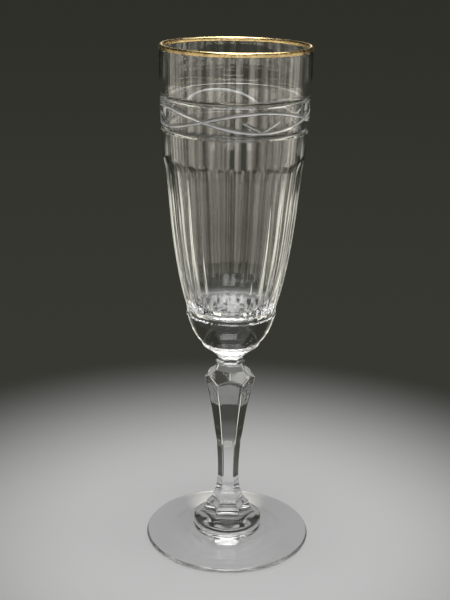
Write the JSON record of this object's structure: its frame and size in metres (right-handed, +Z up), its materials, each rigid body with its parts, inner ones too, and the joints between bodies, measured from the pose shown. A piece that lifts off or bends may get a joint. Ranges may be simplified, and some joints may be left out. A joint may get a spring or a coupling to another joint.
{
  "type": "champagne flute",
  "caption": "Stemmed cut-crystal champagne flute: tall tapering bowl with flat vertical flutes, a wave-cut band and gilded rim, on a faceted stem and round foot.",
  "frame": {"origin": "centre of the foot's resting plane", "axes": "+Z up along the flute's axis; -Y is the front, +X is to the right seen from the front"},
  "size_m": [0.072, 0.072, 0.216],
  "materials": {
    "crystal": "polished cut lead crystal",
    "gilding": "thin fired gold, a little worn"
  },
  "bodies": {
    "root": {"foot_disc": "crystal", "foot_boss": "crystal", "stem": "crystal", "neck_collar": "crystal", "bowl": "crystal", "gold_rim_band": "gilding"}
  },
  "joints": []
}
